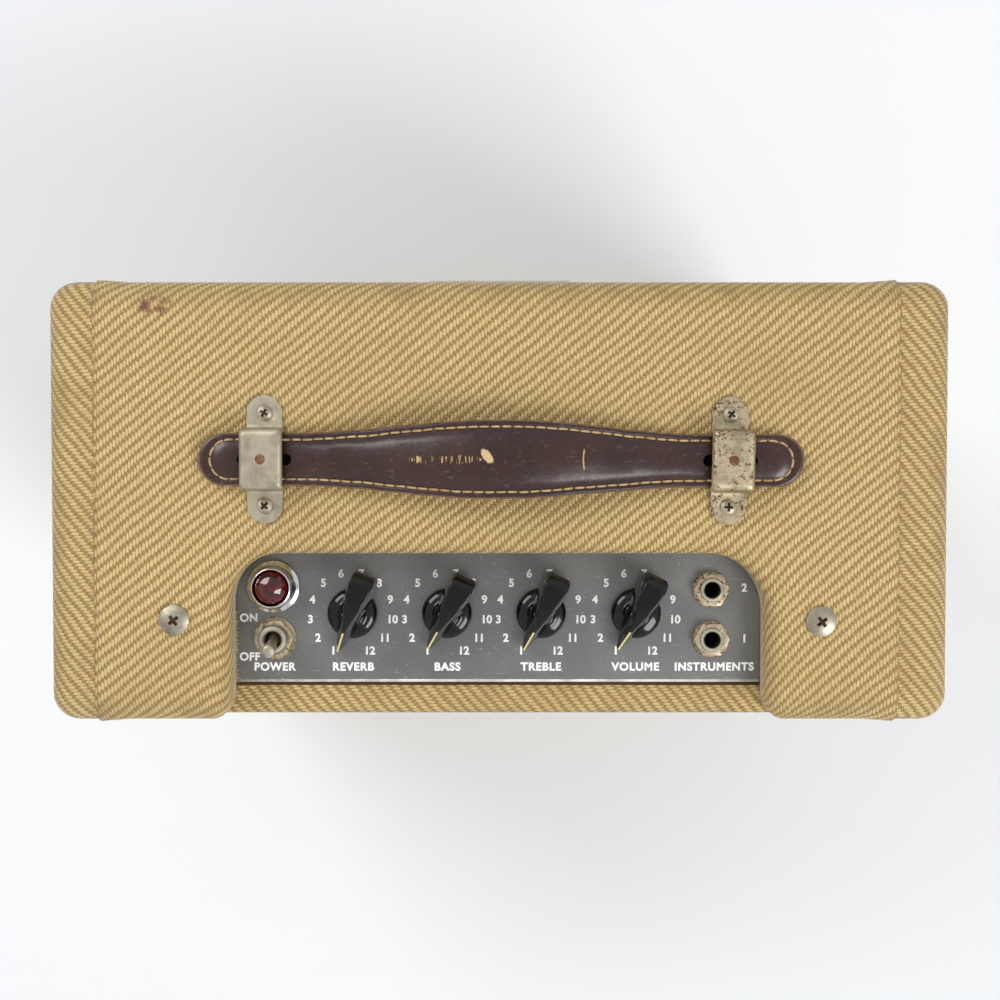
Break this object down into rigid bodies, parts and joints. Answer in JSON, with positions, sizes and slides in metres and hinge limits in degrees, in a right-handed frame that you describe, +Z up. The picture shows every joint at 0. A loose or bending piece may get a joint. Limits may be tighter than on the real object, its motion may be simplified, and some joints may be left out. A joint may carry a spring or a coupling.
{
  "type": "guitar amplifier",
  "caption": "Small tweed-covered combo guitar amplifier with a top-rear control panel, pointer knobs, leather strap handle, open back and a built-in speaker.",
  "frame": {"origin": "centre of the cabinet at floor level, on the plane of the soles of the feet", "axes": "+Z up; +X along the handle, to the right seen from behind; +Y from the grille towards the open back and the control panel"},
  "size_m": [0.355, 0.1755, 0.3332],
  "materials": {
    "pine": "bare planed pine, pale, with fine straight grain",
    "tweed": "lacquered diagonal twill tweed, straw and brown, slightly glossy and aged",
    "ply": "unfinished plywood",
    "grille": "dark brown woven grille cloth with a fine stripe",
    "steel": "grey satin-plated folded sheet steel",
    "nickel": "dulled nickel plate with light rust freckles",
    "chrome": "bright chrome plate",
    "bakelite": "polished black moulded plastic",
    "jewel": "faceted dark red glass",
    "leather": "glossy dark red-brown leather, stitched and worn along its edges",
    "rubber": "matt black rubber",
    "glass": "clear valve glass over a black base",
    "paper": "black pressed paper cone",
    "magnet": "grey painted magnet pot",
    "transformer": "black painted end bells over bare laminations",
    "fibre": "black fibre circuit board"
  },
  "bodies": {
    "cabinet": {"top_board": "pine", "bottom_board": "pine", "side_board_left": "pine", "side_board_right": "pine", "front_upper_panel": "tweed", "front_lower_panel": "tweed", "rear_upper_panel": "tweed", "rear_lower_panel": "tweed", "baffle_board": "ply", "grille_cloth": "grille", "badge_plate": "nickel", "chassis": "steel", "chassis_screw_left": "nickel", "chassis_screw_right": "nickel", "pilot_bezel": "chrome", "pilot_jewel": "jewel", "toggle_switch_body": "nickel", "toggle_nut": "nickel", "pot_reverb": "steel", "pot_bass": "steel", "pot_treble": "steel", "pot_volume": "steel", "input_jack_1": "nickel", "jack_nut_1": "nickel", "input_jack_2": "nickel", "jack_nut_2": "nickel", "rectifier_tube": "glass", "output_tube": "glass", "preamp_tube": "glass", "power_transformer": "transformer", "output_transformer": "transformer", "mains_grommet": "rubber", "circuit_board": "fibre", "speaker_frame": "steel", "speaker_magnet": "magnet", "reverb_tank": "steel", "foot_front_left": "rubber", "foot_front_right": "rubber", "foot_rear_left": "rubber", "foot_rear_right": "rubber", "handle_cap_left": "nickel", "handle_cap_right": "nickel", "handle_screw_front_left": "nickel", "handle_screw_front_right": "nickel", "handle_screw_rear_left": "nickel", "handle_screw_rear_right": "nickel"},
    "reverb_knob": {"knob_reverb": "bakelite", "shaft_reverb": "nickel"},
    "bass_knob": {"knob_bass": "bakelite", "shaft_bass": "nickel"},
    "treble_knob": {"knob_treble": "bakelite", "shaft_treble": "nickel"},
    "volume_knob": {"knob_volume": "bakelite", "shaft_volume": "nickel"},
    "power_switch_lever": {"toggle_lever": "nickel"},
    "cone": {"speaker_cone": "paper"},
    "strap_end_left": {"handle_end_left": "leather"},
    "strap_grip": {"handle_grip": "leather"},
    "strap_end_right": {"handle_end_right": "leather"}
  },
  "joints": [
    {"name": "reverb_turn", "type": "hinge", "parent": "cabinet", "child": "reverb_knob", "pos_m": [0.0593, 0.0454, 0.3127], "axis": [0, 0, 1], "range_deg": [-300, 0]},
    {"name": "bass_turn", "type": "hinge", "parent": "cabinet", "child": "bass_knob", "pos_m": [0.0211, 0.0454, 0.3127], "axis": [0, 0, 1], "range_deg": [-300, 0]},
    {"name": "treble_turn", "type": "hinge", "parent": "cabinet", "child": "treble_knob", "pos_m": [-0.0169, 0.0454, 0.3127], "axis": [0, 0, 1], "range_deg": [-300, 0]},
    {"name": "volume_turn", "type": "hinge", "parent": "cabinet", "child": "volume_knob", "pos_m": [-0.0553, 0.0454, 0.3127], "axis": [0, 0, 1], "range_deg": [-300, 0]},
    {"name": "power_switch", "type": "hinge", "parent": "cabinet", "child": "power_switch_lever", "pos_m": [0.0909, 0.0557, 0.3013], "axis": [1, 0, 0], "range_deg": [0, 23]},
    {"name": "cone_travel", "type": "slide", "parent": "cabinet", "child": "cone", "axis": [0, -1, 0], "range_m": [-0.0015, 0.0015], "stiffness_N_per_m": 2000},
    {"name": "strap_left_slide", "type": "slide", "parent": "cabinet", "child": "strap_end_left", "axis": [1, 0, 0], "range_m": [0, 0.0071]},
    {"name": "handle_lift", "type": "slide", "parent": "strap_end_left", "child": "strap_grip", "axis": [-0.2272, 0, 0.9738], "range_m": [0, 0.0308]},
    {"name": "strap_right_slide", "type": "slide", "parent": "strap_grip", "child": "strap_end_right", "axis": [-0.2272, 0, -0.9738], "range_m": [0, 0.0309]}
  ],
  "couplings": [
    {"joint": "strap_left_slide", "follows": "handle_lift", "ratio": 0.22723},
    {"joint": "strap_right_slide", "follows": "handle_lift", "ratio": 1}
  ]
}
